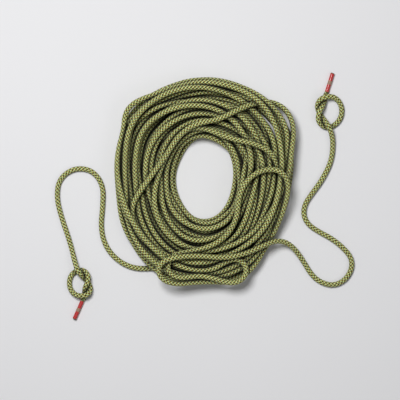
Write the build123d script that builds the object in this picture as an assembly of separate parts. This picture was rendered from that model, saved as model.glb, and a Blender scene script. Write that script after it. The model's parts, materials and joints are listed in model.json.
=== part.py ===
from build123d import *
import os
from math import cos, pi, radians, sin, tan

# A dynamic single rope of kernmantle construction: a braided sheath over a core of
# parallel twisted strands. It lies on the ground in a loose oval coil, and each of its
# two tails ends in a loosely tied overhand knot and a heat-shrunk end sleeve.
#
# Millimetres. Seen from above, +X is right and +Y is up the coil's length; +Z is up.
# Z = 0 is the ground, and X = Y = 0 is the middle of all that lies on it.

# The rope
ROPE_D = 9.5
CORE_D = 7.4

# The core where the shrunk sleeve presses it in
PRESSED_CORE_D = 5.1
CORE_STRAND_D = 1.26
CORE_RING_COUNT = 9
INNER_STRAND_D = 1.2
STRAND_GAP = 0.01
TAPE_WIDTH = 1.4
TAPE_THICKNESS = 0.12

# The coil
COIL_HEIGHT = 60
COIL_OUTER_ROUND = 17
COIL_INNER_ROUND = 14

# The knots: two strands wind once round each other, on a circle of this radius
PAIR_R = 5.6

# The rope's ends: full thickness, a taper, then the sleeve with a thinner rope in it
KNOT_TO_END = 5
TAPER_LENGTH = 5
PRESSED_D = 6.6
SLEEVE_LEAD = 0.5
SLEEVE_LENGTH = 35
SLEEVE_WALL = 0.35
LABEL_WALL = 0.2
LABEL_LENGTH = 7
TIP_LENGTH = 1.6

# How high the rope's centre line runs
LAID = ROPE_D / 2
PAIR_MIDDLE = LAID + PAIR_R

# The coil's two edges, seen from above
COIL_EDGE = [
    (0, 217), (58, 209), (108, 181), (150, 158), (166, 116), (158, 50), (146, -12),
    (124, -67), (99, -122), (51, -158), (2, -153), (-44, -161), (-84, -142),
    (-120, -108), (-150, -60), (-158, 0), (-165, 45), (-159, 102), (-148, 152),
    (-103, 184), (-52, 208),
]
COIL_HOLE = [
    (5, 105), (37, 91), (54, 61), (58, 21), (47, -19), (21, -49), (-8, -53),
    (-36, -23), (-50, 19), (-47, 65), (-26, 99),
]

# The left tail, from inside the coil's edge to its knot
LEFT_TAIL = [
    (-70, -131, LAID), (-98, -134, LAID), (-130, -134, LAID), (-160, -119, LAID),
    (-182, -92, LAID), (-190, -58, LAID), (-186, -20, LAID), (-185, 19, LAID),
    (-205, 47, LAID), (-239, 51, LAID), (-267, 30, LAID), (-271, -5, LAID),
    (-261, -43, LAID), (-250, -74, LAID), (-243, -98, LAID + 0.5), (-238, -118, LAID + 5),
]
# Its knot: the middle line of the two strands that wind round each other, then the
# single strand that closes the eye, back to the start
LEFT_PAIR = [
    (-232, -137), (-223, -141), (-216, -149), (-213, -159), (-213, -168), (-214.5, -177),
    (-219.5, -184.5),
]
LEFT_EYE = [
    (-236, -183, LAID + 6), (-246, -172, LAID + 1), (-248, -157, LAID), (-243, -144, LAID),
]
LEFT_WAY_OUT = (-15, -34, 0)

# The right tail, which comes out of the coil's side and down to the ground, and its knot
RIGHT_TAIL = [
    (96, -101, 38), (112, -86, 33), (131, -79, 26.5), (151, -82, 18.5), (167, -96, 11),
    (184, -123, LAID), (197, -145, LAID), (213, -159, LAID), (237, -166, LAID),
    (259, -156, LAID), (272, -135, LAID), (271, -114, LAID), (256, -96, LAID),
    (235, -79, LAID), (210, -66, LAID), (191, -53, LAID), (182.5, -36, LAID),
    (185, -16, LAID), (198, 3, LAID), (218, 30, LAID), (234, 63, LAID),
    (237, 92, LAID + 1), (235, 110, LAID + 5),
]
RIGHT_PAIR = [
    (230, 124), (220, 131), (213, 141), (211, 153), (212, 164), (216.5, 173.5), (222.5, 180.5),
]
RIGHT_EYE = [
    (237, 182, LAID + 7), (248.5, 173, LAID + 2), (254, 159, LAID), (252, 144, LAID),
    (243.5, 131.5, LAID),
]
RIGHT_WAY_OUT = (6, 19, 0)


def pair_strand(middle, starts_on_top):
    """One strand of two that wind once round each other along a middle line."""
    sign = 1 if starts_on_top else -1
    last = len(middle) - 1
    strand = []
    for index, (x, y) in enumerate(middle):
        before = middle[max(index - 1, 0)]
        after = middle[min(index + 1, last)]
        along = Vector(after[0] - before[0], after[1] - before[1]).normalized()
        towards_eye = Vector(along.Y, -along.X)
        angle = 2 * pi * index / last
        aside = sign * PAIR_R * sin(angle)
        lift = sign * PAIR_R * cos(angle)
        strand.append(Vector(x, y, PAIR_MIDDLE + lift) + towards_eye * aside)
    return strand


def knotted_route(tail, pair, eye, way_out):
    """A tail's route: out of the coil, twice through its overhand knot, to its sleeve."""
    first_pass = pair_strand(pair, starts_on_top=True)
    second_pass = pair_strand(pair, starts_on_top=False)
    # The rope leaves the knot straight and level
    second_pass[-1].Z = LAID
    end = second_pass[-1] + Vector(way_out).normalized() * KNOT_TO_END
    return [*map(Vector, tail), *first_pass, *map(Vector, eye), *second_pass, end]


def bend_radii(points):
    """The radius at each corner: as large as the two runs beside it allow."""
    radii = []
    for before, corner, after in zip(points, points[1:], points[2:]):
        run_in, run_out = corner - before, after - corner
        turn = radians(run_in.get_angle(run_out))
        shorter = min(run_in.length, run_out.length)
        radii.append(0.45 * shorter / tan(turn / 2))
    return radii


def tube(points, name):
    """A round tube along straight runs that are joined by tangent arcs."""
    radii = bend_radii(points)
    path = FilletPolyline(*points, radius=radii)
    section = Plane(origin=path @ 0, z_dir=path % 0) * Circle(ROPE_D / 2)
    solid = sweep(section, path=path)
    expected = section.area * path.length
    print(name, "length", round(path.length), "volume / (section x length)",
          round(solid.volume / expected, 4))
    print(name, "radii", [round(radius) for radius in radii])
    return solid


def coil_solid():
    """The outer shape of the coil: a low oval mound with an open middle."""
    edge = make_face(Spline(*COIL_EDGE, periodic=True))
    hole = make_face(Spline(*COIL_HOLE, periodic=True))
    mound = extrude(edge - hole, COIL_HEIGHT)
    rims = mound.faces().sort_by(Axis.Z)[-1].edges().sort_by(SortBy.LENGTH)
    mound = fillet(rims[:1], COIL_INNER_ROUND)
    rims = mound.faces().sort_by(Axis.Z)[-1].edges().sort_by(SortBy.LENGTH)
    return fillet(rims[-1:], COIL_OUTER_ROUND)


def core_strands(length):
    """Nine strands round two, with the marker tape's slot between the two."""
    ring_r = (PRESSED_CORE_D - CORE_STRAND_D) / 2
    inner_r = (TAPE_THICKNESS + INNER_STRAND_D) / 2 + STRAND_GAP
    strands = [
        Location((ring_r * cos(turn), ring_r * sin(turn), length / 2))
        * Cylinder(CORE_STRAND_D / 2, length)
        for turn in [2 * pi * index / CORE_RING_COUNT for index in range(CORE_RING_COUNT)]
    ]
    for side in (-1, 1):
        place = Location((0, side * inner_r, length / 2))
        strands.append(place * Cylinder(INNER_STRAND_D / 2, length))
    return Compound(children=strands)


def end_sheath(length):
    """The sheath's tube: it tapers, then runs on thinner to the rope's end."""
    outside = [(ROPE_D / 2, 0), (PRESSED_D / 2, TAPER_LENGTH), (PRESSED_D / 2, length)]
    inside = [(CORE_D / 2, 0), (PRESSED_CORE_D / 2, TAPER_LENGTH), (PRESSED_CORE_D / 2, length)]
    outline = Polyline(*outside, *reversed(inside), close=True)
    return revolve(Plane.XZ * make_face(outline), Axis.Z)


def end_pieces(start, way_out):
    """The last stretch of the rope, cut open into its real pieces."""
    place = Plane(origin=start, z_dir=way_out)
    sleeve_start = TAPER_LENGTH + SLEEVE_LEAD
    length = sleeve_start + SLEEVE_LENGTH
    on_axis = (Align.CENTER, Align.CENTER, Align.MIN)
    tape = Box(TAPE_WIDTH, TAPE_THICKNESS, length, align=on_axis)
    sleeve_r = PRESSED_D / 2 + SLEEVE_WALL
    sleeve = Cylinder(sleeve_r, SLEEVE_LENGTH, align=on_axis)
    sleeve = chamfer(sleeve.edges().filter_by(GeomType.CIRCLE), 0.6 * SLEEVE_WALL)
    sleeve -= Cylinder(PRESSED_D / 2, SLEEVE_LENGTH, align=on_axis)
    label = Cylinder(sleeve_r + LABEL_WALL, LABEL_LENGTH) - Cylinder(sleeve_r, LABEL_LENGTH)
    tip = Cylinder(PRESSED_D / 2, TIP_LENGTH, align=on_axis)
    tip = chamfer(tip.edges().group_by(Axis.Z)[-1], 0.5 * TIP_LENGTH)
    pieces = {
        "end_sheath": end_sheath(length),
        "core_strands": core_strands(length),
        "marker_tape": tape,
        "end_sleeve": Pos(0, 0, sleeve_start) * sleeve,
        "sleeve_label": Pos(0, 0, sleeve_start + SLEEVE_LENGTH / 2) * label,
        "fused_tip": Pos(0, 0, length) * tip,
    }
    return {name: place * piece for name, piece in pieces.items()}


coil = coil_solid()
nodes = {"coil": coil}
sides = {
    "left_": (LEFT_TAIL, LEFT_PAIR, LEFT_EYE, LEFT_WAY_OUT),
    "right_": (RIGHT_TAIL, RIGHT_PAIR, RIGHT_EYE, RIGHT_WAY_OUT),
}
for side, (tail, pair, eye, way_out) in sides.items():
    route = knotted_route(tail, pair, eye, way_out)
    nodes[side + "tail"] = tube(route, side + "tail") - coil
    for name, piece in end_pieces(route[-1], way_out).items():
        nodes[side + name] = piece

os.makedirs("parts", exist_ok=True)
for name, shape in nodes.items():
    export_step(shape, "parts/" + name + ".step")
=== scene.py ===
import json
import math

import bpy
import numpy as np
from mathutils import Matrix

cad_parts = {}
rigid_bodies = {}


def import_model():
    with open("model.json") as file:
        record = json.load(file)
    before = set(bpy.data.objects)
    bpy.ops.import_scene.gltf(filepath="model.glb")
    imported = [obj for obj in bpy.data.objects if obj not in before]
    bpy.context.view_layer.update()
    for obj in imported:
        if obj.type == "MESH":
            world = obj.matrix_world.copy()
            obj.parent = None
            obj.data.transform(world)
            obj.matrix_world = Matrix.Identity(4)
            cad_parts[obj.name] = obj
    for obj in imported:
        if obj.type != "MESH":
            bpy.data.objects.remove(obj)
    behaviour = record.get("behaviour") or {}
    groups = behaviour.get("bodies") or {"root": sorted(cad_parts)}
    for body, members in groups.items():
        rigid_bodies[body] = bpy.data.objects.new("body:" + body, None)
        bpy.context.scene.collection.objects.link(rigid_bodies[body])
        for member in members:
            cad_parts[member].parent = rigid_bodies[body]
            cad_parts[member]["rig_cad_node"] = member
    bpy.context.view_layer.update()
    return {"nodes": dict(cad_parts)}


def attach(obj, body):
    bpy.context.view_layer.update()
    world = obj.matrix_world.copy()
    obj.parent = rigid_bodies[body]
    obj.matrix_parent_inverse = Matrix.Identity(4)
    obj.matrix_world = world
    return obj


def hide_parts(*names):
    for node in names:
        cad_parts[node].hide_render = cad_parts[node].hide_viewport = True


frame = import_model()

# A dynamic climbing rope, laid out loose in an oval coil. Both its tails end in a loose
# overhand knot and a red heat-shrunk sleeve. Metres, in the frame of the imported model.

# The rope
ROPE_D = 0.0095
ROPE_R = ROPE_D / 2
PICK = 0.0267           # how far along one yarn of the braid goes once round
YARNS = 24              # yarns that run each way round

# Its ends: full thickness, a taper, then the sleeve with a thinner rope in it
KNOT_TO_END = 0.005
TAPER_LENGTH = 0.005
PRESSED_D = 0.0066
SLEEVE_LEAD = 0.0005
SLEEVE_LENGTH = 0.035
SLEEVE_WALL = 0.00035
LABEL_WALL = 0.0002
LABEL_LENGTH = 0.007
TIP_LENGTH = 0.0016
END_LENGTH = TAPER_LENGTH + SLEEVE_LEAD + SLEEVE_LENGTH

# How high the middle of the rope runs
LAID = ROPE_R
PAIR_R = 0.0056
PAIR_MIDDLE = LAID + PAIR_R

# The coil's outer and inner edge, seen from above
COIL_EDGE = [
    (0.000, 0.217), (0.058, 0.209), (0.108, 0.181), (0.150, 0.158), (0.166, 0.116),
    (0.158, 0.050), (0.146, -0.012), (0.124, -0.067), (0.099, -0.122), (0.051, -0.158),
    (0.002, -0.153), (-0.044, -0.161), (-0.084, -0.142), (-0.120, -0.108),
    (-0.150, -0.060), (-0.158, 0.000), (-0.165, 0.045), (-0.159, 0.102),
    (-0.148, 0.152), (-0.103, 0.184), (-0.052, 0.208),
]
COIL_HOLE = [
    (0.005, 0.105), (0.037, 0.091), (0.054, 0.061), (0.058, 0.021), (0.047, -0.019),
    (0.021, -0.049), (-0.008, -0.053), (-0.036, -0.023), (-0.050, 0.019),
    (-0.047, 0.065), (-0.026, 0.099),
]
COIL_CENTRE = (0.001, 0.0275)

# The left tail, from inside the coil's edge to its knot
LEFT_TAIL = [
    (-0.070, -0.131, LAID), (-0.098, -0.134, LAID), (-0.130, -0.134, LAID),
    (-0.160, -0.119, LAID), (-0.182, -0.092, LAID), (-0.190, -0.058, LAID),
    (-0.186, -0.020, LAID), (-0.185, 0.019, LAID), (-0.205, 0.047, LAID),
    (-0.239, 0.051, LAID), (-0.267, 0.030, LAID), (-0.271, -0.005, LAID),
    (-0.261, -0.043, LAID), (-0.250, -0.074, LAID), (-0.243, -0.098, LAID + 0.0005),
    (-0.238, -0.118, LAID + 0.005),
]
LEFT_PAIR = [
    (-0.232, -0.137), (-0.223, -0.141), (-0.216, -0.149), (-0.213, -0.159),
    (-0.213, -0.168), (-0.2145, -0.177), (-0.2195, -0.1845),
]
LEFT_EYE = [
    (-0.236, -0.183, LAID + 0.006), (-0.246, -0.172, LAID + 0.001),
    (-0.248, -0.157, LAID), (-0.243, -0.144, LAID),
]
LEFT_WAY_OUT = (-0.015, -0.034, 0)

# The right tail, which comes out of the coil's side and down to the floor, and its knot
RIGHT_TAIL = [
    (0.096, -0.101, 0.038), (0.112, -0.086, 0.033), (0.131, -0.079, 0.0265),
    (0.151, -0.082, 0.0185), (0.167, -0.096, 0.011), (0.184, -0.123, LAID),
    (0.197, -0.145, LAID), (0.213, -0.159, LAID), (0.237, -0.166, LAID),
    (0.259, -0.156, LAID), (0.272, -0.135, LAID), (0.271, -0.114, LAID),
    (0.256, -0.096, LAID), (0.235, -0.079, LAID), (0.210, -0.066, LAID),
    (0.191, -0.053, LAID), (0.1825, -0.036, LAID), (0.185, -0.016, LAID),
    (0.198, 0.003, LAID), (0.218, 0.030, LAID), (0.234, 0.063, LAID),
    (0.237, 0.092, LAID + 0.001), (0.235, 0.110, LAID + 0.005),
]
RIGHT_PAIR = [
    (0.230, 0.124), (0.220, 0.131), (0.213, 0.141), (0.211, 0.153), (0.212, 0.164),
    (0.2165, 0.1735), (0.2225, 0.1805),
]
RIGHT_EYE = [
    (0.237, 0.182, LAID + 0.007), (0.2485, 0.173, LAID + 0.002), (0.254, 0.159, LAID),
    (0.252, 0.144, LAID), (0.2435, 0.1315, LAID),
]
RIGHT_WAY_OUT = (0.006, 0.019, 0)

# The last turns to be laid, which lie on top: each of these loops shows by itself
TOP_TURNS = [
    (0.145, -0.003), (0.141, 0.039), (0.128, 0.074), (0.099, 0.093), (0.062, 0.100),
    (0.034, 0.108), (0.005, 0.122), (-0.022, 0.125), (-0.044, 0.113), (-0.062, 0.087),
    (-0.081, 0.047), (-0.093, 0.001), (-0.086, -0.045), (-0.059, -0.081),
    (-0.015, -0.102), (0.033, -0.100), (0.081, -0.078), (0.117, -0.041), (0.141, 0.006),
    (0.157, 0.050), (0.159, 0.083), (0.165, 0.122), (0.154, 0.155), (0.126, 0.173),
    (0.092, 0.169), (0.062, 0.156), (0.031, 0.138), (0.000, 0.133), (-0.027, 0.125),
    (-0.051, 0.102), (-0.070, 0.070), (-0.086, 0.049), (-0.106, 0.021),
    (-0.126, -0.005), (-0.135, -0.030), (-0.128, -0.063), (-0.102, -0.092),
    (-0.062, -0.116), (-0.015, -0.127), (0.033, -0.120), (0.077, -0.094),
    (0.113, -0.056), (0.134, -0.008), (0.143, 0.047), (0.139, 0.098), (0.124, 0.145),
    (0.095, 0.178), (0.051, 0.200), (0.004, 0.208), (-0.044, 0.200), (-0.088, 0.184),
    (-0.132, 0.169), (-0.146, 0.147), (-0.145, 0.125), (-0.157, 0.083),
    (-0.159, 0.038), (-0.148, -0.012), (-0.126, -0.056), (-0.095, -0.094),
    (-0.059, -0.122), (-0.018, -0.138), (0.016, -0.135), (0.036, -0.118),
    (0.052, -0.111), (0.067, -0.115), (0.077, -0.127), (0.077, -0.143),
    (0.068, -0.155), (0.053, -0.160), (0.036, -0.157), (0.014, -0.149),
    (-0.011, -0.145), (-0.035, -0.150), (-0.052, -0.150), (-0.065, -0.141),
    (-0.069, -0.126), (-0.060, -0.111), (-0.043, -0.104), (-0.015, -0.101),
    (0.020, -0.090),
    (0.048, -0.067), (0.062, -0.034), (0.062, -0.003), (0.075, 0.025), (0.095, 0.043),
    (0.121, 0.050), (0.145, 0.043), (0.154, 0.019), (0.148, -0.016), (0.132, -0.056),
    (0.110, -0.092), (0.095, -0.125), (0.075, -0.145), (0.048, -0.160),
    (0.015, -0.156), (-0.020, -0.158), (-0.048, -0.162), (-0.070, -0.158),
    (-0.084, -0.146), (-0.085, -0.130), (-0.073, -0.117), (-0.044, -0.111), (-0.007, -0.109),
    (0.027, -0.114), (0.066, -0.109),
]

# How the coil is laid, turn on turn
FULL_TURNS = 32
LANES = 12              # strands side by side, from the hole to the outer edge
LANE_STEP = 2           # a layer takes every second lane, and then the others on its way back
SWAPS = 3               # pairs of neighbouring turns that change places in each layer
JITTER = 0.30           # how far a strand lies off its lane, of the lane's width
FIRST_LANE = 0.97
LAST_LANES = [0.72, 0.93, 0.93, 0.93]    # the last turns end where the top ones start
WAVER = 0.0045
WAVES_A_TURN = (2, 3, 5)
NARROWING = 0.02
EDGE_SMOOTHING = 4      # in degrees to each side, three times
POINTS_A_TURN = 16
TURN_START = math.radians(-105)
LAST_TURN_PART = 80 / 360
SEED = 4

# How it settles
NODE_STEP = 0.016
SETTLE_STEPS = 420
PASSES = 5              # rounds of pulls and pushes in each step
SINK_RATES = (0.0006, 0.00022, 0.00006)  # how far it sinks in a step: first, later, last
KEPT_SPEED = 0.5
KEPT_SHAPE = (0.25, 0.25, 0.08)          # how stiffly it keeps the plan's bends, by axis
SLIP = 0.8              # how much of a step along the floor or a strand is left by friction
DEEP = 0.55             # strands whose middles are nearer than this, of a diameter, part upwards
LONGEST_PUSH = 0.003
BULK_HOLD = 0.002       # how firmly the bulk, and then the top turns, keep to the plan
TOP_HOLD = 0.02
TOP_LENGTH = 4.6
EASE_IN = 60            # nodes over which the one hold goes over into the other


# --- Laying the rope ---
def pair_strand(middle, starts_on_top):
    """One strand of two that wind once round each other along a middle line."""
    sign = 1 if starts_on_top else -1
    last = len(middle) - 1
    strand = []
    for index, (x, y) in enumerate(middle):
        before = middle[max(index - 1, 0)]
        after = middle[min(index + 1, last)]
        run = math.hypot(after[0] - before[0], after[1] - before[1])
        across = ((after[1] - before[1]) / run, -(after[0] - before[0]) / run)
        angle = 2 * math.pi * index / last
        aside = sign * PAIR_R * math.sin(angle)
        lift = sign * PAIR_R * math.cos(angle)
        strand.append((x + across[0] * aside, y + across[1] * aside, PAIR_MIDDLE + lift))
    return strand


def knotted_tail(tail, pair, eye, way_out):
    """A tail's points: from the coil, twice through its overhand knot, to its very end."""
    first_pass = pair_strand(pair, True)
    second_pass = pair_strand(pair, False)
    x, y, _ = second_pass[-1]
    run = math.hypot(way_out[0], way_out[1])
    out = [
        (x + way_out[0] / run * along, y + way_out[1] / run * along, LAID)
        for along in (0, KNOT_TO_END, KNOT_TO_END + END_LENGTH)
    ]
    return [*tail, *first_pass, *eye, *second_pass[:-1], *out]


def edge_distance(edge, inset):
    """How far an edge is from the coil's centre, as a function of the direction."""
    x, y = np.array(edge).T - np.array(COIL_CENTRE)[:, None]
    angle, radius = np.arctan2(y, x), np.hypot(x, y) + inset
    around = np.linspace(-np.pi, np.pi, 361)[:-1]
    order = np.argsort(angle)
    far = np.interp(around, angle[order], radius[order], period=2 * np.pi)
    for _ in range(3):
        reach = range(-EDGE_SMOOTHING, EDGE_SMOOTHING + 1)
        far = sum(np.roll(far, shift) for shift in reach) / len(reach)
    return lambda turn: np.interp(turn, around, far, period=2 * np.pi)


def laid_turns(rng):
    """The bulk of the coil: turn after turn, layer on layer, each in a lane and wavering."""
    outer = edge_distance(COIL_EDGE, -ROPE_R)
    inner = edge_distance(COIL_HOLE, ROPE_R)
    count = FULL_TURNS + 3
    lanes = [FIRST_LANE]
    inwards = True
    while len(lanes) < count:
        order = np.concatenate([np.arange(first, LANES, LANE_STEP)[::way]
                                for first, way in zip(range(LANE_STEP), (1, -1) * LANE_STEP)])
        layer = (order + JITTER * rng.uniform(-1, 1, LANES)) / (LANES - 1)
        swap = rng.permutation(LANES - 1)[:SWAPS]
        layer[swap], layer[swap + 1] = layer[swap + 1], layer[swap].copy()
        lanes.extend(np.clip(1 - layer if inwards else layer, 0, 1))
        inwards = not inwards
    lanes[FULL_TURNS - 1:] = LAST_LANES
    change_from = np.arange(count) + rng.uniform(0, 0.5, count)
    change_over = rng.uniform(0.25, 0.6, count)
    phase = rng.uniform(0, 2 * np.pi, (count + 2, 3))
    depth = rng.uniform(0.3, 1.0, (count + 2, 3))

    def waver(turn, angle):
        waves = [np.sin(wave * angle + phase[turn, k]) for k, wave in enumerate(WAVES_A_TURN)]
        return (depth[turn, 0] * waves[0] + depth[turn, 1] * waves[1]
                + 0.6 * depth[turn, 2] * waves[2])

    points = []
    for index in range(int((FULL_TURNS + LAST_TURN_PART) * POINTS_A_TURN) + 1):
        turns = index / POINTS_A_TURN
        lane = lanes[0]
        for k in range(count - 1):
            share = min(max((turns - change_from[k]) / change_over[k], 0), 1)
            lane += (lanes[k + 1] - lane) * share * share * (3 - 2 * share)
        angle = TURN_START + 2 * math.pi * turns
        whole, part = int(turns), turns - int(turns)
        aside = (1 - part) * waver(whole, angle) + part * waver(whole + 1, angle)
        lane = 0.5 + (lane - 0.5) * (1 - NARROWING * turns / FULL_TURNS)
        radius = inner(angle) + (outer(angle) - inner(angle)) * lane + WAVER * aside
        radius = min(max(radius, inner(angle)), outer(angle))
        points.append((COIL_CENTRE[0] + radius * math.cos(angle),
                       COIL_CENTRE[1] + radius * math.sin(angle), 0.0))
    return points


def smooth_line(points, steps=24):
    """A smooth line that has these as its control points."""
    points = np.asarray(points, float)
    middles = (points[:-1] + points[1:]) / 2
    middles[0], middles[-1] = points[0], points[-1]
    line = [points[:1]]
    share = np.linspace(0, 1, steps + 1)[1:, None]
    for start, corner, end in zip(middles, points[1:-1], middles[1:]):
        line.append((1 - share) ** 2 * start + 2 * share * (1 - share) * corner + share**2 * end)
    return np.concatenate(line)


def evenly_spaced(line, step):
    """Points at even distances along a line, and how far along it each one is."""
    runs = np.linalg.norm(np.diff(line, axis=0), axis=1)
    along = np.concatenate([[0], np.cumsum(runs)])
    places = np.linspace(0, along[-1], int(round(along[-1] / step)) + 1)
    return np.column_stack([np.interp(places, along, column) for column in line.T]), places


def first_heights(line):
    """How high each point lies if the rope is put down stiffly on what is there already."""
    cell, lag, chunk = 0.0025, 3, 6
    low = line[:, :2].min(0) - 0.02
    top = np.full(((line[:, :2].max(0) + 0.02 - low) / cell).astype(int) + 1, -1.0)
    reach = int(ROPE_D / cell) + 1
    near_x, near_y = np.mgrid[-reach:reach + 1, -reach:reach + 1]
    apart = np.hypot(near_x, near_y) * cell
    within = apart < 0.98 * ROPE_D
    near_x, near_y = near_x[within], near_y[within]
    rise = np.sqrt((0.98 * ROPE_D) ** 2 - apart[within] ** 2)
    heights = line[:, 2].copy()
    for start in range(0, len(line), chunk):
        cells = ((line[start:start + chunk, :2] - low) / cell).astype(int)
        under = top[cells[:, :1] + near_x, cells[:, 1:] + near_y] + rise
        heights[start:start + chunk] = np.maximum(LAID, under.max(1))
        done = start - lag * chunk
        for node in range(max(done, 0), max(done + chunk, 0)):
            for share in np.linspace(0, 1, 7):
                spot = line[node, :2] * (1 - share) + line[node + 1, :2] * share
                column, row = ((spot - low) / cell).astype(int)
                height = heights[node] * (1 - share) + heights[node + 1] * share
                top[column, row] = max(top[column, row], height)
    return heights


def near_pairs(nodes, reach):
    """Pairs of short stretches, from node to node, whose middles are within reach."""
    middles = (nodes[:-1] + nodes[1:]) / 2
    cells = np.floor(middles / reach).astype(np.int64)
    cells -= cells.min(0) - 1
    size = cells.max(0) + 3
    key = (cells[:, 0] * size[1] + cells[:, 1]) * size[2] + cells[:, 2]
    order = np.argsort(key, kind="stable")
    ordered = key[order]
    firsts, seconds = [], []
    for offset in sorted({(x * size[1] + y) * size[2] + z
                          for x in (-1, 0, 1) for y in (-1, 0, 1) for z in (-1, 0, 1)}):
        if offset < 0:
            continue
        low = np.searchsorted(ordered, key + offset, "left")
        count = np.searchsorted(ordered, key + offset, "right") - low
        first = np.repeat(np.arange(len(key)), count)
        skip = np.repeat(low - np.concatenate([[0], np.cumsum(count)[:-1]]), count)
        second = order[skip + np.arange(count.sum())]
        keep = second > first if offset == 0 else np.ones(len(first), bool)
        firsts.append(first[keep])
        seconds.append(second[keep])
    first, second = np.concatenate(firsts), np.concatenate(seconds)
    first, second = np.minimum(first, second), np.maximum(first, second)
    keep = (second - first > 2) & (np.linalg.norm(middles[first] - middles[second], axis=1) < reach)
    return first[keep], second[keep]


def closest_places(nodes, first, second):
    """Where two stretches are nearest: the share along each, and the gap between them."""
    start_a, along_a = nodes[first], nodes[first + 1] - nodes[first]
    start_b, along_b = nodes[second], nodes[second + 1] - nodes[second]
    offset = start_a - start_b
    aa, bb = (along_a * along_a).sum(1), (along_b * along_b).sum(1)
    ab = (along_a * along_b).sum(1)
    ao, bo = (along_a * offset).sum(1), (along_b * offset).sum(1)
    share_a = np.clip((ab * bo - ao * bb) / np.maximum(aa * bb - ab * ab, 1e-12), 0, 1)
    free_b = (ab * share_a + bo) / bb
    share_b = np.clip(free_b, 0, 1)
    share_a = np.where(free_b != share_b, np.clip((ab * share_b - ao) / aa, 0, 1), share_a)
    gap = start_a + along_a * share_a[:, None] - start_b - along_b * share_b[:, None]
    return share_a, share_b, gap


def settle(nodes, plan, free, hold, steps):
    """Lets the laid turns sink under their weight until they rest on each other.

    They keep near the plan that they were laid on, and keep their length; strands push each
    other apart where they touch, and nothing sinks into the floor."""
    count = len(nodes)
    weight = free.astype(float)
    rest = np.linalg.norm(np.diff(plan[:, :2], axis=0), axis=1)
    before = nodes.copy()
    for step in range(steps):
        if step % 6 == 0:
            first, second = near_pairs(nodes, NODE_STEP + ROPE_D + 0.003)
            gap = closest_places(nodes, first, second)[2]
            near = np.linalg.norm(gap, axis=1) < ROPE_D + 0.006
            first, second = first[near], second[near]
        done = step / steps
        sink = SINK_RATES[0 if done < 0.3 else 1 if done < 0.6 else 2]
        moved = nodes + (nodes - before) * KEPT_SPEED * weight[:, None]
        moved[:, 2] -= sink * weight
        for _ in range(PASSES):
            for a in (np.arange(0, count - 1, 2), np.arange(1, count - 1, 2)):
                run = moved[a + 1] - moved[a]
                size = np.linalg.norm(run, axis=1)
                pull = 0.5 * (size - rest[a]) / np.maximum(size * (weight[a] + weight[a + 1]), 1e-9)
                pull = np.where(size > 1.03 * rest[a], 2 * pull, pull)[:, None]
                moved[a] += run * pull * weight[a, None]
                moved[a + 1] -= run * pull * weight[a + 1, None]
            shape = moved - plan * (1, 1, 0)
            bend = (shape[:-2] + shape[2:]) / 2 - shape[1:-1]
            moved[1:-1] += bend * KEPT_SHAPE * weight[1:-1, None]
            moved[:, :2] += (plan[:, :2] - moved[:, :2]) * (hold * weight)[:, None]
            share_a, share_b, gap = closest_places(moved, first, second)
            size = np.linalg.norm(gap, axis=1)
            hit = size < ROPE_D
            a, b, size = first[hit], second[hit], size[hit]
            share_a, share_b = share_a[hit], share_b[hit]
            way = gap[hit] / np.maximum(size, 1e-9)[:, None]
            way[size < DEEP * ROPE_D] = (0, 0, -1)      # the strand laid later comes up
            parts = [(a, weight[a] * (1 - share_a), 1 - share_a, 1),
                     (a + 1, weight[a + 1] * share_a, share_a, 1),
                     (b, weight[b] * (1 - share_b), 1 - share_b, -1),
                     (b + 1, weight[b + 1] * share_b, share_b, -1)]
            press = (ROPE_D - size) / np.maximum(sum(w * s for _, w, s, _ in parts), 1e-6)
            push, touches = np.zeros_like(moved), np.zeros(count)
            for node, share, _, sign in parts:
                for axis in range(3):
                    push[:, axis] += np.bincount(node, press * share * sign * way[:, axis], count)
                touches += np.bincount(node, minlength=count)
            push /= np.maximum(touches, 1)[:, None] ** 0.7
            far = np.linalg.norm(push, axis=1)
            push *= np.minimum(1, LONGEST_PUSH / np.maximum(far, 1e-9))[:, None]
            moved += push * weight[:, None]
            on_floor = (moved[:, 2] < LAID) & free
            moved[on_floor, 2] = LAID
        grip = (touches > 0) | on_floor
        moved[grip, :2] = nodes[grip, :2] + (moved[grip, :2] - nodes[grip, :2]) * SLIP
        before, nodes = nodes, moved
    return nodes


def settled_coil():
    """The coil's nodes, from where the left tail comes in to where the right tail goes out."""
    rng = np.random.default_rng(SEED)
    top_turns = [(x, y, 0) for x, y in TOP_TURNS]
    route = [*LEFT_TAIL[3::-1], *laid_turns(rng), *top_turns, *RIGHT_TAIL[1:7]]
    plan, _ = evenly_spaced(smooth_line(route), NODE_STEP)
    tail_in = np.linalg.norm(plan[:20, :2] - np.array(LEFT_TAIL[0][:2]), axis=1).argmin() + 1
    tail_out = len(plan) - 20 + np.linalg.norm(
        plan[-20:, :2] - np.array(RIGHT_TAIL[5][:2]), axis=1).argmin()
    free = np.ones(len(plan), bool)
    free[:tail_in] = free[tail_out:] = False
    top = len(plan) - int(TOP_LENGTH / NODE_STEP)
    hold = np.interp(np.arange(len(plan)), [top - EASE_IN, top], [BULK_HOLD, TOP_HOLD])
    nodes = plan.copy()
    nodes[:, 2] = np.where(free, LAID + 0.8 * (first_heights(plan) - LAID), LAID)
    return settle(nodes, plan, free, hold, SETTLE_STEPS)[tail_in:tail_out]


# --- Making the rope ---
RINGS_APART = 0.003
ROPE_SIDES = 14
PIECE_SIDES = 48
MAP = "round_and_along"


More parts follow.
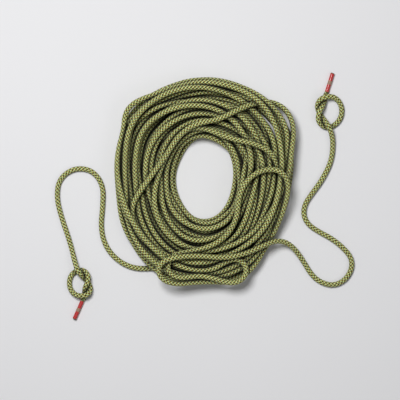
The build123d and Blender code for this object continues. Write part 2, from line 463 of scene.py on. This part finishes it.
def smooth_path(points):
    """The line of one smooth spline that has these as its control points."""
    curve = bpy.data.curves.new("route", "CURVE")
    curve.dimensions = "3D"
    curve.resolution_u = 10
    spline = curve.splines.new("NURBS")
    spline.points.add(len(points) - 1)
    spline.points.foreach_set("co", np.column_stack([points, np.ones(len(points))]).ravel())
    spline.order_u = 3
    spline.use_endpoint_u = True
    route = bpy.data.objects.new("route", curve)
    bpy.context.scene.collection.objects.link(route)
    drawn = route.evaluated_get(bpy.context.evaluated_depsgraph_get())
    mesh = bpy.data.meshes.new_from_object(drawn)
    line = np.empty(3 * len(mesh.vertices))
    mesh.vertices.foreach_get("co", line)
    bpy.data.objects.remove(route)
    bpy.data.curves.remove(curve)
    bpy.data.meshes.remove(mesh)
    return line.reshape(-1, 3)


def frames_along(line):
    """Two directions across the line at each of its points, that don't twist round it."""
    tangents = np.gradient(line, axis=0)
    tangents /= np.linalg.norm(tangents, axis=1)[:, None]
    side = np.cross((0, 0, 1), tangents[0])
    sides = []
    for tangent in tangents:
        side = side - tangent * (side @ tangent)
        side /= np.linalg.norm(side)
        sides.append(side)
    sides = np.array(sides)
    return sides, np.cross(tangents, sides)


def skin(name, rings, along, closed=False):
    """A mesh over rings of points. Its map says how far round and how far along it each is.

    It closes on itself from the last ring to the first, or else each end gets a flat cap."""
    count, sides = rings.shape[:2]
    ring, side = np.mgrid[0:count if closed else count - 1, 0:sides]
    after, beside = (ring + 1) % count, (side + 1) % sides
    quads = np.stack([ring * sides + side, ring * sides + beside,
                      after * sides + beside, after * sides + side], axis=-1).reshape(-1, 4)
    round_ = np.stack([side, side + 1, side + 1, side], axis=-1).reshape(-1, 4) / sides
    far = np.stack([along[ring], along[ring], along[after], along[after]], axis=-1).reshape(-1, 4)
    points = rings.reshape(-1, 3)
    faces = quads.tolist()
    spots = np.stack([round_, far], axis=-1).reshape(-1, 2)
    if not closed:
        middles = [points[:sides].mean(0), points[-sides:].mean(0)]
        first = np.arange(sides)
        last = first + (count - 1) * sides
        faces += [[len(points), b, a] for a, b in zip(first.tolist(), np.roll(first, -1).tolist())]
        faces += [[len(points) + 1, a, b] for a, b in zip(last.tolist(), np.roll(last, -1).tolist())]
        points = np.concatenate([points, middles])
        share = first / sides
        for height, way in ((along[0], -1), (along[-1], 1)):
            rim = np.stack([share, share + 1 / sides][::way], axis=-1)
            fan = np.column_stack([share, rim]).reshape(-1)
            spots = np.concatenate([spots, np.column_stack([fan, np.full(len(fan), height)])])
    mesh = bpy.data.meshes.new(name)
    mesh.from_pydata(points.tolist(), [], faces)
    uv = mesh.uv_layers.new(name=MAP)
    uv.data.foreach_set("uv", spots.astype(np.float32).ravel())
    mesh.shade_smooth()
    piece = bpy.data.objects.new(name, mesh)
    bpy.context.scene.collection.objects.link(piece)
    return piece


def rope_skin(name, centres, along):
    """The rope's outside: round, tapered into its two sleeves, and a little uneven."""
    sides, ups = frames_along(centres)
    from_end = np.minimum(along, along[-1] - along)
    taper = np.clip((from_end - (END_LENGTH - TAPER_LENGTH)) / TAPER_LENGTH, 0, 1)
    radius = PRESSED_D / 2 + (ROPE_R - PRESSED_D / 2) * taper * taper * (3 - 2 * taper)
    radius *= 1 + 0.012 * np.sin(along * 61) * np.sin(along * 23 + 1)
    angle = 2 * np.pi * np.arange(ROPE_SIDES) / ROPE_SIDES
    cosine, sine = np.cos(angle)[None, :, None], np.sin(angle)[None, :, None]
    across = cosine * sides[:, None] + sine * ups[:, None]
    return skin(name, centres[:, None] + radius[:, None, None] * across, along)


class RopeEnd:
    """Where one end of the rope lies: straight, level and along one direction."""

    def __init__(self, tail, way_out):
        tip, before = np.array(tail[-1]), np.array(tail[-2])
        self.way = (tip - before) / np.linalg.norm(tip - before)
        self.tip = tip
        self.start = tip - self.way * END_LENGTH
        self.side = np.cross((0, 0, 1), self.way)

    def turned(self, name, profile, closed, from_axis=None):
        """A turned piece: distances along the end and from its middle line, as a profile.

        from_axis says how much further out each point lies, by its angle and its distance."""
        profile = np.array(profile)
        angle = 2 * np.pi * np.arange(PIECE_SIDES) / PIECE_SIDES
        radius = np.repeat(profile[:, 1:], PIECE_SIDES, axis=1)
        if from_axis is not None:
            radius = radius + from_axis(angle[None], profile[:, :1], radius)
        across = np.cos(angle)[:, None] * self.side + np.sin(angle)[:, None] * np.array((0, 0, 1))
        rings = self.start + profile[:, 0, None, None] * self.way + radius[..., None] * across
        return skin(name, rings, profile[:, 0], closed)


def wall_profile(start, length, inner, wall, lip):
    """Round the wall of a sleeve and back, with lips that stand up a little at both ends."""
    steps = int(length / 0.0007)
    along = np.linspace(0, length, steps + 1)
    rise = lip * (np.exp(-((along / 0.0011) ** 2)) + np.exp(-(((length - along) / 0.0011) ** 2)))
    outside = [(start + s, inner + wall + r) for s, r in zip(along, rise)]
    corner = 0.28 * wall
    outside[0] = (start, inner + wall + rise[0] - corner)
    outside[-1] = (start + length, inner + wall + rise[-1] - corner)
    outside.insert(1, (start + corner, inner + wall + rise[0]))
    outside.insert(-1, (start + length - corner, inner + wall + rise[-1]))
    return [*outside, (start + length, inner), (start, inner)]


def shrunk_on(angle, along, radius):
    """How the braid and a few wrinkles show through a sleeve that is shrunk on it."""
    outside = np.clip((radius - PRESSED_D / 2) / SLEEVE_WALL, 0, 1)
    turn = YARNS / 2 * angle
    run = np.pi * YARNS / PICK * along
    braid = np.cos(turn + run) * np.cos(turn - run)
    folds = np.sin(2 * angle + 260 * along) * np.sin(95 * along)
    dent = np.exp(-(((angle - 1.9) / 0.5) ** 2)) * np.cos(140 * along)
    return outside * (0.00006 * braid + 0.00009 * folds - 0.00008 * dent)


def wrapped_on(angle, along, radius):
    """A band's own lap: where its end lies over its start it stands up."""
    outside = np.clip((radius - PRESSED_D / 2 - SLEEVE_WALL) / LABEL_WALL, 0, 1)
    lap = 1 / (1 + np.exp(-(angle - 0.9) / 0.03)) - 1 / (1 + np.exp(-(angle - 1.5) / 0.10))
    return 0.00012 * lap * outside + 0.00003 * np.sin(3 * angle + 400 * along) * outside


def melted(angle, along, radius):
    """The uneven rim of a cut end that was melted with a flame."""
    lobes = 0.035 * np.sin(3 * angle + 1) + 0.025 * np.sin(5 * angle)
    return radius * (lobes + 0.02 * np.sin(8 * angle + 900 * along))


class Wire:
    """An output of a node in a finish. Sums written with it add Math nodes."""

    def __init__(self, tree, socket=None):
        self.tree = tree
        self.socket = socket

    def node(self, kind, settings=None, sockets=None):
        """Adds any node: its type, its settings, then its sockets' values or links."""
        made = self.tree.nodes.new("ShaderNode" + kind)
        for name, value in (settings or {}).items():
            if name == "stops":
                ramp = made.color_ramp
                while len(ramp.elements) < len(value):
                    ramp.elements.new(1.0)
                for stop, (position, tone) in zip(ramp.elements, value):
                    stop.position = position
                    stop.color = tone
            elif name == "between_stops":
                made.color_ramp.interpolation = value
            else:
                setattr(made, name, value)
        for name, value in (sockets or {}).items():
            if isinstance(value, Wire):
                self.tree.links.new(value.socket, made.inputs[name])
            else:
                made.inputs[name].default_value = value
        out = next((socket for socket in made.outputs if socket.enabled), None)
        return Wire(self.tree, out)

    def out(self, name):
        """Another output of the same node, by its name."""
        return Wire(self.tree, self.socket.node.outputs[name])

    def math(self, operation, *values):
        return self.node("Math", {"operation": operation}, dict(enumerate(values)))

    def __add__(self, other):
        return self.math("ADD", self, other)

    def __sub__(self, other):
        return self.math("SUBTRACT", self, other)

    def __rsub__(self, other):
        return self.math("SUBTRACT", other, self)

    def __mul__(self, other):
        return self.math("MULTIPLY", self, other)

    def __truediv__(self, other):
        return self.math("DIVIDE", self, other)

    def __mod__(self, other):
        return self.math("FLOORED_MODULO", self, other)

    def __pow__(self, other):
        return self.math("POWER", self, other)

    def __lt__(self, other):
        return self.math("LESS_THAN", self, other)

    __radd__ = __add__
    __rmul__ = __mul__

    def mix(self, first, second):
        """Two colours mixed, by this as the share of the second."""
        return self.node("Mix", {"data_type": "RGBA"}, {0: self, 6: first, 7: second})

    def scaled(self, factors):
        """This vector, times a vector of numbers."""
        return self.node("VectorMath", {"operation": "MULTIPLY"}, {0: self, 1: factors})

    def noise(self, scale, detail=2.0, roughness=0.5):
        """Cloudy noise over the places that this gives."""
        return self.node("TexNoise", {}, {"Vector": self, "Scale": scale, "Detail": detail,
                                          "Roughness": roughness})


def finish(name, steady, varying):
    """A material of one Principled surface: its steady values, and what varies over it."""
    material = bpy.data.materials.new(name)
    material.use_nodes = True
    tree = material.node_tree
    tree.nodes.clear()
    start = Wire(tree)
    surface = start.node("BsdfPrincipled", {}, {**steady, **varying(start)})
    start.node("OutputMaterial", {}, {"Surface": surface})
    return material


def bump(height, distance, strength=1.0):
    return height.node("Bump", {}, {"Height": height, "Distance": distance, "Strength": strength})


def colour(red, green, blue):
    """A colour by its everyday values from 0 to 255, as a lamp-linear one."""
    linear = [v / 12.92 if v <= 0.04045 else ((v + 0.055) / 1.055) ** 2.4
              for v in (red / 255, green / 255, blue / 255)]
    return (*linear, 1.0)


def yarn_colours(number, colours):
    """The colours of a family of yarns, one after the other, over and over."""
    count = len(colours)
    place = (number % count) / count + 0.5 / count
    stops = [(index / count, yarn) for index, yarn in enumerate(colours)]
    return place.node("ValToRGB", {"stops": stops, "between_stops": "CONSTANT"}, {"Fac": place})


def braid(start, picks):
    """Where a spot lies in the braid: each family's yarn number and place across it."""
    place = start.node("UVMap", {"uv_map": MAP})
    parts = start.node("SeparateXYZ", {}, {0: place})
    around, along = parts * YARNS, parts.out("Y") * (YARNS / picks)
    rising, falling = around + along, around - along
    numbers = [way.math("FLOOR", way) for way in (rising, falling)]
    across = [way - number for way, number in zip((rising, falling), numbers)]
    return place, numbers, across


def sheath_look(start):
    """A braid of glossy nylon yarns: olive, moss green, sage and ochre flecks, darkened by painted
    shade.
    """
    place, (rising, falling), (over_rising, over_falling) = braid(start, PICK)
    rising_up = ((rising + falling) % 4) < 2
    rising_colour = yarn_colours(rising, [colour(240, 250, 196), colour(240, 244, 176),
                                          colour(196, 202, 96), colour(24, 30, 0),
                                          colour(16, 20, 0), colour(54, 62, 6)])
    falling_colour = yarn_colours(falling, [colour(216, 136, 24), colour(128, 200, 84),
                                            colour(220, 236, 176), colour(24, 26, 0),
                                            colour(112, 74, 10), colour(18, 24, 0)])
    yarns = rising_up.mix(falling_colour, rising_colour)

    def crown(across):
        return 1 - (2 * across - 1) ** 2

    rising_crown, falling_crown = crown(over_rising), crown(over_falling)
    high = rising_up * (rising_crown * (0.55 + 0.45 * falling_crown))
    low = (1 - rising_up) * (falling_crown * (0.55 + 0.45 * rising_crown))
    height = (high + low) ** 0.6
    fibres = place.scaled((260.0, 900.0, 1.0)).noise(1.0, 3.0, 0.7)
    cloud = place.scaled((2.0, 14.0, 1.0)).noise(1.0, 3.0, 0.6)
    # Painted shade: darker between the yarns, and much darker in the crevices between strands, from
    # an ambient occlusion factor multiplied into the colour
    shade = 0.30 + 0.70 * height
    open_to_light = start.node("AmbientOcclusion", {"samples": 8}, {"Distance": 0.010}).out("AO")
    shade = shade * (0.80 + 0.40 * fibres) * (0.78 + 0.44 * cloud) * open_to_light ** 2.5 * 1.3
    tone_and_painted_shade = start.node("CombineXYZ", {}, {0: shade, 1: shade, 2: shade})
    # The yarn colours times the fibres' and cloud's own tone and the painted shade
    base = start.node("Mix", {"data_type": "RGBA", "blend_type": "MULTIPLY"},
                      {0: 1.0, 6: yarns, 7: tone_and_painted_shade})
    rough = 0.50 + 0.22 * fibres + 0.12 * (1 - height)
    return {"Base Color": base, "Roughness": rough,
            "Normal": bump(height + 0.25 * fibres, 0.00035, 0.8)}


def red_look(start):
    """Glossy heat-shrunk plastic, faintly clouded, with fine scuffs along it."""
    place = start.node("UVMap", {"uv_map": MAP})
    cloud = place.scaled((3.0, 160.0, 1.0)).noise(1.0, 4.0, 0.6)
    scuffs = place.scaled((70.0, 300.0, 1.0)).noise(1.0, 5.0, 0.75)
    base = cloud.mix(colour(168, 14, 18), colour(202, 34, 34))
    worn = scuffs.math("MAXIMUM", scuffs * 1.6 - 0.55, 0.0)
    return {"Base Color": (0.25 * worn).mix(base, colour(214, 110, 100)),
            "Roughness": 0.26 + 0.35 * worn + 0.10 * cloud,
            "Normal": bump(scuffs, 0.00006, 0.5)}


def label_look(start):
    """A blank band of pale film, a little yellowed and rubbed."""
    place = start.node("UVMap", {"uv_map": MAP})
    cloud = place.scaled((5.0, 300.0, 1.0)).noise(1.0, 4.0, 0.6)
    rubbed = place.scaled((40.0, 1200.0, 1.0)).noise(1.0, 4.0, 0.7)
    base = cloud.mix(colour(150, 120, 98), colour(182, 152, 126))
    return {"Base Color": (0.45 * rubbed).mix(base, colour(150, 84, 70)),
            "Roughness": 0.42 + 0.25 * rubbed,
            "Normal": bump(rubbed, 0.00004, 0.6)}


def melted_look(start):
    """Fused nylon: all the yarns' colours run together, dark, glassy and lumpy."""
    place = start.node("TexCoord").out("Object")
    lumps = place.noise(900.0, 3.0, 0.6)
    base = lumps.mix(colour(46, 38, 22), colour(112, 104, 52))
    return {"Base Color": base, "Roughness": 0.18 + 0.35 * lumps,
            "Normal": bump(lumps, 0.0003, 0.7)}


def core_look(start):
    """Twisted undyed nylon strands."""
    place = start.node("TexCoord").out("Object")
    twist = start.node("TexWave", {"wave_type": "BANDS", "bands_direction": "DIAGONAL"},
                       {"Vector": place, "Scale": 420.0, "Distortion": 1.5, "Detail": 2.0})
    wave = twist.out("Fac")
    fibres = place.noise(2500.0, 3.0, 0.7)
    base = (0.6 * wave + 0.4 * fibres).mix(colour(206, 202, 190), colour(246, 244, 236))
    return {"Base Color": base, "Roughness": 0.55 + 0.25 * fibres,
            "Normal": bump(wave + 0.3 * fibres, 0.0002, 0.7)}


def tape_look(start):
    """Thin marker film with faint creases."""
    place = start.node("TexCoord").out("Object")
    creases = place.noise(1400.0, 4.0, 0.6)
    base = creases.mix(colour(206, 168, 54), colour(232, 200, 96))
    return {"Base Color": base, "Roughness": 0.22 + 0.30 * creases,
            "Normal": bump(creases, 0.00005, 0.5)}


def floor_look(start):
    """A plain pale floor."""
    place = start.node("TexCoord").out("Object")
    cloud = place.noise(1.3, 2.0, 0.5)
    return {"Base Color": cloud.mix(colour(232, 232, 234), colour(238, 238, 240)),
            "Roughness": 0.62 + 0.12 * cloud}


sheath = finish("braided_sheath_finish",
                {"Specular IOR Level": 0.30, "Sheen Weight": 0.06, "Sheen Roughness": 0.45},
                sheath_look)
red_sleeve = finish("red_sleeve_finish", {"Coat Weight": 0.35, "Coat Roughness": 0.12}, red_look)
pale_label = finish("pale_label_finish", {"Specular IOR Level": 0.45}, label_look)
fused_nylon = finish("fused_nylon_finish", {"Coat Weight": 0.25, "Coat Roughness": 0.2}, melted_look)
core_nylon = finish("core_nylon_finish", {"Sheen Weight": 0.2}, core_look)
marker_tape = finish("marker_tape_finish", {"Coat Weight": 0.4, "Coat Roughness": 0.15}, tape_look)

# --- The rope ---
left_tail = knotted_tail(LEFT_TAIL, LEFT_PAIR, LEFT_EYE, LEFT_WAY_OUT)
right_tail = knotted_tail(RIGHT_TAIL[5:], RIGHT_PAIR, RIGHT_EYE, RIGHT_WAY_OUT)
route = np.array([*left_tail[::-1], *settled_coil(), *right_tail])
centres, along = evenly_spaced(smooth_path(route), RINGS_APART)
rope = rope_skin("rope", centres, along)
rope.data.materials.append(sheath)
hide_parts("coil", "left_tail", "right_tail", "left_end_sheath", "right_end_sheath")

# --- What is on its ends ---
SLEEVE_START = TAPER_LENGTH + SLEEVE_LEAD
SLEEVE_R = PRESSED_D / 2 + SLEEVE_WALL
LABEL_START = SLEEVE_START + (SLEEVE_LENGTH - LABEL_LENGTH) / 2
LIP = 0.00012
TIP_SHAPE = [(0.0, 1.0), (0.12, 1.04), (0.3, 1.05), (0.5, 0.99), (0.7, 0.86), (0.84, 0.68),
             (0.94, 0.46), (0.98, 0.26), (1.0, 0.1)]
on_rope = []
for hand, tail, way_out in (("left", left_tail, LEFT_WAY_OUT), ("right", right_tail, RIGHT_WAY_OUT)):
    end = RopeEnd(tail, way_out)
    sleeve = end.turned(hand + "_shrunk_sleeve",
                        wall_profile(SLEEVE_START, SLEEVE_LENGTH, PRESSED_D / 2, SLEEVE_WALL, LIP),
                        True, shrunk_on)
    label = end.turned(hand + "_blank_label",
                       wall_profile(LABEL_START, LABEL_LENGTH, SLEEVE_R, LABEL_WALL, 0.0),
                       True, wrapped_on)
    tip = end.turned(hand + "_melted_tip",
                     [(END_LENGTH + s * TIP_LENGTH, r * PRESSED_D / 2) for s, r in TIP_SHAPE],
                     False, melted)
    for piece, node, material, slot in ((sleeve, "_end_sleeve", red_sleeve, "red_sleeve"),
                                        (label, "_sleeve_label", pale_label, "pale_label"),
                                        (tip, "_fused_tip", fused_nylon, "fused_nylon")):
        piece.data.materials.append(material)
        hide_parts(hand + node)
        on_rope.append(piece)
    for node, material in (("_core_strands", core_nylon), ("_marker_tape", marker_tape)):
        part = frame["nodes"][hand + node]
        part.data.materials.clear()
        part.data.materials.append(material)
        on_rope.append(part)

for piece in [rope, *on_rope]:
    if "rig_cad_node" not in piece:
        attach(piece, "root")

# --- Floor, light and camera ---
VIEW_WIDTH = 0.732
VIEW_CENTRE = (-0.0073, -0.0082)
CAMERA_HEIGHT = 3.6
ROPE_TOP = 0.02

bpy.ops.mesh.primitive_plane_add(size=12, location=(0, 0, 0))
floor = bpy.context.object
floor.name = "floor"
floor.data.materials.append(finish("pale_floor", {}, floor_look))


def softbox(name, place, size, power):
    """A soft lamp that faces the middle of the rope."""
    lamp = bpy.data.lights.new(name, "AREA")
    lamp.shape = "DISK"
    lamp.size = size
    lamp.energy = power
    box = bpy.data.objects.new(name, lamp)
    box.location = place
    box.rotation_euler = box.location.to_track_quat("Z", "Y").to_euler()
    bpy.context.scene.collection.objects.link(box)


softbox("key", (-0.5, 0.7, 2.3), 0.9, 46)
softbox("fill", (1.4, -0.7, 1.8), 1.4, 4)
world = bpy.data.worlds.new("studio")
bpy.context.scene.world = world
world.use_nodes = True
world.node_tree.nodes["Background"].inputs["Color"].default_value = (1, 1, 1, 1)
world.node_tree.nodes["Background"].inputs["Strength"].default_value = 0.15

lens = bpy.data.cameras.new("camera")
lens.sensor_width = 36
lens.lens = 36 * (CAMERA_HEIGHT - ROPE_TOP) / VIEW_WIDTH
lens.clip_start, lens.clip_end = 0.1, 30
camera = bpy.data.objects.new("camera", lens)
camera.location = (*VIEW_CENTRE, CAMERA_HEIGHT)
bpy.context.scene.collection.objects.link(camera)
bpy.context.scene.camera = camera
bpy.context.scene.view_settings.view_transform = "Standard"
